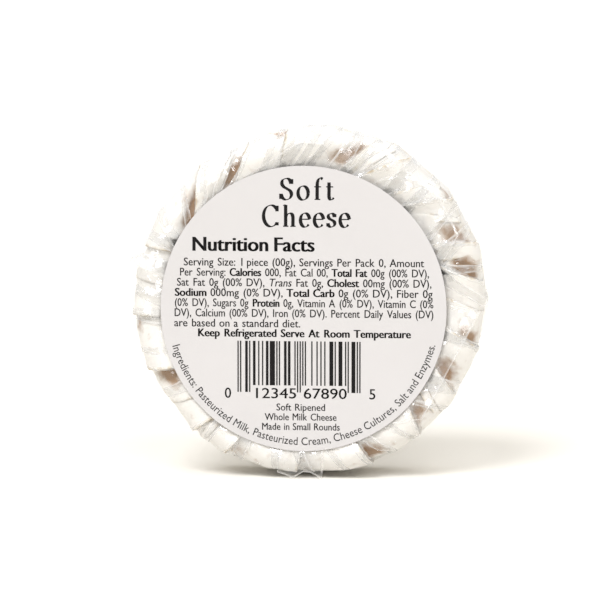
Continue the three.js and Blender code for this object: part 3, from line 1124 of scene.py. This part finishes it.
class CHEESEWHEEL_OT_cheese(bpy.types.Operator):
    """Add the cheese itself"""
    bl_idname = "cheesewheel.cheese"
    bl_label = "Cheese"

    def execute(self, context):
        settings = context.scene.cheesewheel_cheese
        look = in_millimetres(settings)
        path = section_path(1.0)
        rows = np.linspace(CHEESE_OPENING, path["total"] - CHEESE_OPENING, CHEESE_ROWS)[:, None]
        angle = np.linspace(0, 2 * math.pi, CHEESE_COLUMNS, endpoint=False)[None, :]
        section = section_at(path, rows)
        u, v = np.broadcast_arrays(angle * CHEESE_RADIUS, rows)
        lumps = crumple(u, v, 2 * math.pi * CHEESE_RADIUS, look.lump_spacing, LUMP_SEED)
        inset = look.lump * 0.5 * (1 - lumps)
        points = place(section["radius"] - inset * section["normal_r"], angle,
                       section["depth"] - inset * section["normal_d"])
        faces = grid_faces(CHEESE_ROWS, CHEESE_COLUMNS)
        count = CHEESE_ROWS * CHEESE_COLUMNS
        faces.append(tuple(range(count - CHEESE_COLUMNS, count)))
        cheese = make_mesh("cheese", points.reshape(-1, 3), faces)
        dress(cheese, mould_rind(settings), "rind", "cheese_wheel")
        return {"FINISHED"}


class CHEESEWHEEL_OT_paper(bpy.types.Operator):
    """Add the pleated sheet of cheese paper"""
    bl_idname = "cheesewheel.paper"
    bl_label = "Cheese paper"

    def execute(self, context):
        settings = context.scene.cheesewheel_paper
        look = in_millimetres(settings)
        outline = rim_outline("paper_liner")
        folds = folds_at(PAPER_FOLDS, look)
        paper = pleated_sheet("cheese_paper", folds, outline, look)
        dress(paper, waxed_cheese_paper(settings), "cheese_paper", "paper_liner")
        return {"FINISHED"}


class CHEESEWHEEL_OT_film(bpy.types.Operator):
    """Add the pleated sheet of clear film"""
    bl_idname = "cheesewheel.film"
    bl_label = "Clear film"

    def execute(self, context):
        settings = context.scene.cheesewheel_film
        look = in_millimetres(settings)
        outline = rim_outline("paper_liner")
        paper = bpy.data.objects["cheese_paper"]
        beneath = BVHTree.FromObject(paper, context.evaluated_depsgraph_get())
        folds = folds_at(FILM_FOLDS, look)
        film = pleated_sheet("film", folds, outline, look, beneath)
        film.data.set_sharp_from_angle(angle=math.radians(28))
        add_flaps(film, BVHTree.FromObject(film, context.evaluated_depsgraph_get()), look)
        dress(film, clear_film(settings), "clear_film", "film_wrap")
        return {"FINISHED"}


class CHEESEWHEEL_OT_label(bpy.types.Operator):
    """Add the round label"""
    bl_idname = "cheesewheel.label"
    bl_label = "Label"

    def execute(self, context):
        settings = context.scene.cheesewheel_label
        look = in_millimetres(settings)
        reach = np.linspace(0.02, 1, LABEL_RINGS)[::-1, None] * LABEL_RADIUS
        angle = np.linspace(0, 2 * math.pi, LABEL_SPOKES, endpoint=False)[None, :]
        x, z = reach * np.cos(angle), reach * np.sin(angle)
        front = wavy_front(x, z, look.wave)
        points = np.concatenate([
            label_points(x[::-1], z[::-1], front[::-1] - look.thickness),
            label_points(x, z, front)]).reshape(-1, 3)
        last = (2 * LABEL_RINGS - 1) * LABEL_SPOKES
        faces = []
        for a in range(0, last, LABEL_SPOKES):
            for c in range(LABEL_SPOKES):
                b, n = a + LABEL_SPOKES, (c + 1) % LABEL_SPOKES
                faces.append((a + c, a + n, b + n, b + c))
        faces.append(tuple(range(last, last + LABEL_SPOKES)))
        faces.append(tuple(range(LABEL_SPOKES - 1, -1, -1)))
        label = make_mesh("label", points, faces)
        label.data.set_sharp_from_angle(angle=math.radians(40))
        dress(label, label_stock(settings), "label_paper", "round_label")
        return {"FINISHED"}


class CHEESEWHEEL_OT_print(bpy.types.Operator):
    """Print the label: a title, small print, a bar code and a curved line"""
    bl_idname = "cheesewheel.print"
    bl_label = "Label print"

    def execute(self, context):
        settings = context.scene.cheesewheel_print
        look = in_millimetres(settings)
        ink = Ink()
        for text, left, right, baseline in TITLE_LINES:
            print_title(ink, text, left, right, baseline, look.title_capital)
        print_line(ink, *HEADING, look.heading_capital, HEADING_GAP)
        for i, line in enumerate(BODY_LINES):
            baseline = BODY_BASELINE - i * look.line_spacing
            print_line(ink, *line, baseline, look.body_capital, BODY_GAP)
        print_line(ink, *STORAGE_LINE, look.body_capital, STORAGE_GAP)
        print_bars(ink, BARS_LEFT + look.bar_code_width)
        scale = look.bar_code_width / BARS_WIDTH
        for first, last, start, end in DIGIT_GROUPS:
            left, right = BARS_LEFT + start * scale, BARS_LEFT + end * scale
            print_line(ink, BAR_CODE[first:last], left, right, DIGITS_BASELINE, DIGITS_CAPITAL, 0)
        for i, line in enumerate(FOOT_LINES):
            baseline = FOOT_BASELINE - i * FOOT_SPACING
            print_line(ink, *line, baseline, look.foot_capital, FOOT_GAP)
        print_curved(
            ink, CURVED_LINE, look.curved_radius, CURVED_FROM, CURVED_TO, look.body_capital)
        flat = np.concatenate(ink.points)
        depth = wavy_front(flat[:, 0], flat[:, 1], context.scene.cheesewheel_label.wave / MM)
        points = label_points(flat[:, 0], flat[:, 1], depth + look.above)
        label_print = make_mesh("label_print", points, ink.faces, False)
        dress(label_print, printing_ink(settings), "label_paper")
        return {"FINISHED"}


# Soft distant lights: irradiance, the degrees that each spans, its azimuth and its elevation.
SUNS = (
    ("softbox_left", 1.58, 26, -23, 46),
    ("softbox_right", 0.84, 36, 26, 44),
    ("overhead", 0.9, 50, 180, 76),
)
AIM_RIGHT, AIM_UP = 1.1, 0.4     # from the label's middle to where the camera looks, in millimetres


class CHEESEWHEEL_OT_stage(bpy.types.Operator):
    """Add the floor, lights and camera"""
    bl_idname = "cheesewheel.stage"
    bl_label = "Stage"

    def execute(self, context):
        settings = context.scene.cheesewheel_stage
        look = in_millimetres(settings)
        half = settings.floor_size / 2
        corners = [(-half, -half, 0), (half, -half, 0), (half, half, 0), (-half, half, 0)]
        floor = make_mesh("floor", corners, [(0, 1, 2, 3)], False)
        floor.data.materials.append(sweep_paper(settings))
        for sun in SUNS:
            add_sun(*sun)
        add_sky(context)
        add_camera(context, look)
        return {"FINISHED"}


def backwards(azimuth, elevation):
    """The way from the object to what faces it: degrees to the right of its front, and upwards."""
    a, e = math.radians(azimuth), math.radians(elevation)
    return Vector((math.sin(a) * math.cos(e), -math.cos(a) * math.cos(e), math.sin(e)))


def add_facing(name, data, location, back):
    """A light or a camera at a place, turned to face the object."""
    made = bpy.data.objects.new(name, data)
    bpy.context.scene.collection.objects.link(made)
    made.location = location
    made.rotation_mode = "QUATERNION"
    made.rotation_quaternion = back.to_track_quat("Z", "Y")
    return made


def add_sun(name, strength, spread, azimuth, elevation):
    lamp = bpy.data.lights.new(name, "SUN")
    lamp.energy = strength
    lamp.angle = math.radians(spread)
    back = backwards(azimuth, elevation)
    add_facing(name, lamp, back, back)


def add_sky(context):
    """White walls, as they look and as gloss mirrors them, and the dimmer, warmer light that they
    cast on the object."""
    world = bpy.data.worlds.new("studio")
    world.use_nodes = True
    context.scene.world = world
    tree = world.node_tree
    tree.nodes.clear()
    seen = add_node(tree, "ShaderNodeLightPath")
    white = add_node(tree, "ShaderNodeBackground", {"Color": (1, 1, 1, 1), "Strength": 1.05})
    warm = add_node(tree, "ShaderNodeBackground", {
        "Color": (1, 0.94, 0.82, 1), "Strength": 0.36})
    sharp = maths(tree, "MAXIMUM", seen.outputs["Is Camera Ray"], seen.outputs["Is Glossy Ray"])
    mixed = mix_shader(tree, sharp, warm.outputs[0], white.outputs[0])
    add_node(tree, "ShaderNodeOutputWorld", {"Surface": mixed})


def add_camera(context, look):
    lens = bpy.data.cameras.new("camera")
    lens.lens = look.lens
    lens.clip_start, lens.clip_end = 0.01, 200
    back = backwards(look.azimuth, look.elevation)
    turned = math.radians(look.azimuth)
    across = Vector((math.cos(turned), math.sin(turned), 0))
    label = Vector(label_points(0.0, 0.0, LABEL_FRONT))
    aim = label + across * (AIM_RIGHT * MM) + Vector((0, 0, AIM_UP * MM))
    context.scene.camera = add_facing("camera", lens, aim + back * (look.distance * MM), back)
    context.scene.view_settings.view_transform = "Standard"


GROUPS = {
    "cheesewheel_cheese": CheeseSettings,
    "cheesewheel_paper": PaperSettings,
    "cheesewheel_film": FilmSettings,
    "cheesewheel_label": LabelSettings,
    "cheesewheel_print": PrintSettings,
    "cheesewheel_stage": StageSettings,
}
OPERATORS = (
    CHEESEWHEEL_OT_cheese,
    CHEESEWHEEL_OT_paper,
    CHEESEWHEEL_OT_film,
    CHEESEWHEEL_OT_label,
    CHEESEWHEEL_OT_print,
    CHEESEWHEEL_OT_stage,
)


class CHEESEWHEEL_PT_pieces(bpy.types.Panel):
    """Lists the pieces of the cheese wheel"""
    bl_label = "Cheese Wheel"
    bl_space_type = "VIEW_3D"
    bl_region_type = "UI"
    bl_category = "Cheese"

    def draw(self, context):
        for operator in OPERATORS:
            self.layout.operator(operator.bl_idname)


def register():
    for name, group in GROUPS.items():
        bpy.utils.register_class(group)
        setattr(bpy.types.Scene, name, PointerProperty(type=group))
    for operator in (*OPERATORS, CHEESEWHEEL_PT_pieces):
        bpy.utils.register_class(operator)


def unregister():
    for operator in reversed((*OPERATORS, CHEESEWHEEL_PT_pieces)):
        bpy.utils.unregister_class(operator)
    for name, group in reversed(GROUPS.items()):
        delattr(bpy.types.Scene, name)
        bpy.utils.unregister_class(group)


def main():
    register()
    for operator in OPERATORS:
        group, name = operator.bl_idname.split(".")
        getattr(getattr(bpy.ops, group), name)()
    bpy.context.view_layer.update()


if __name__ == "__main__":
    main()
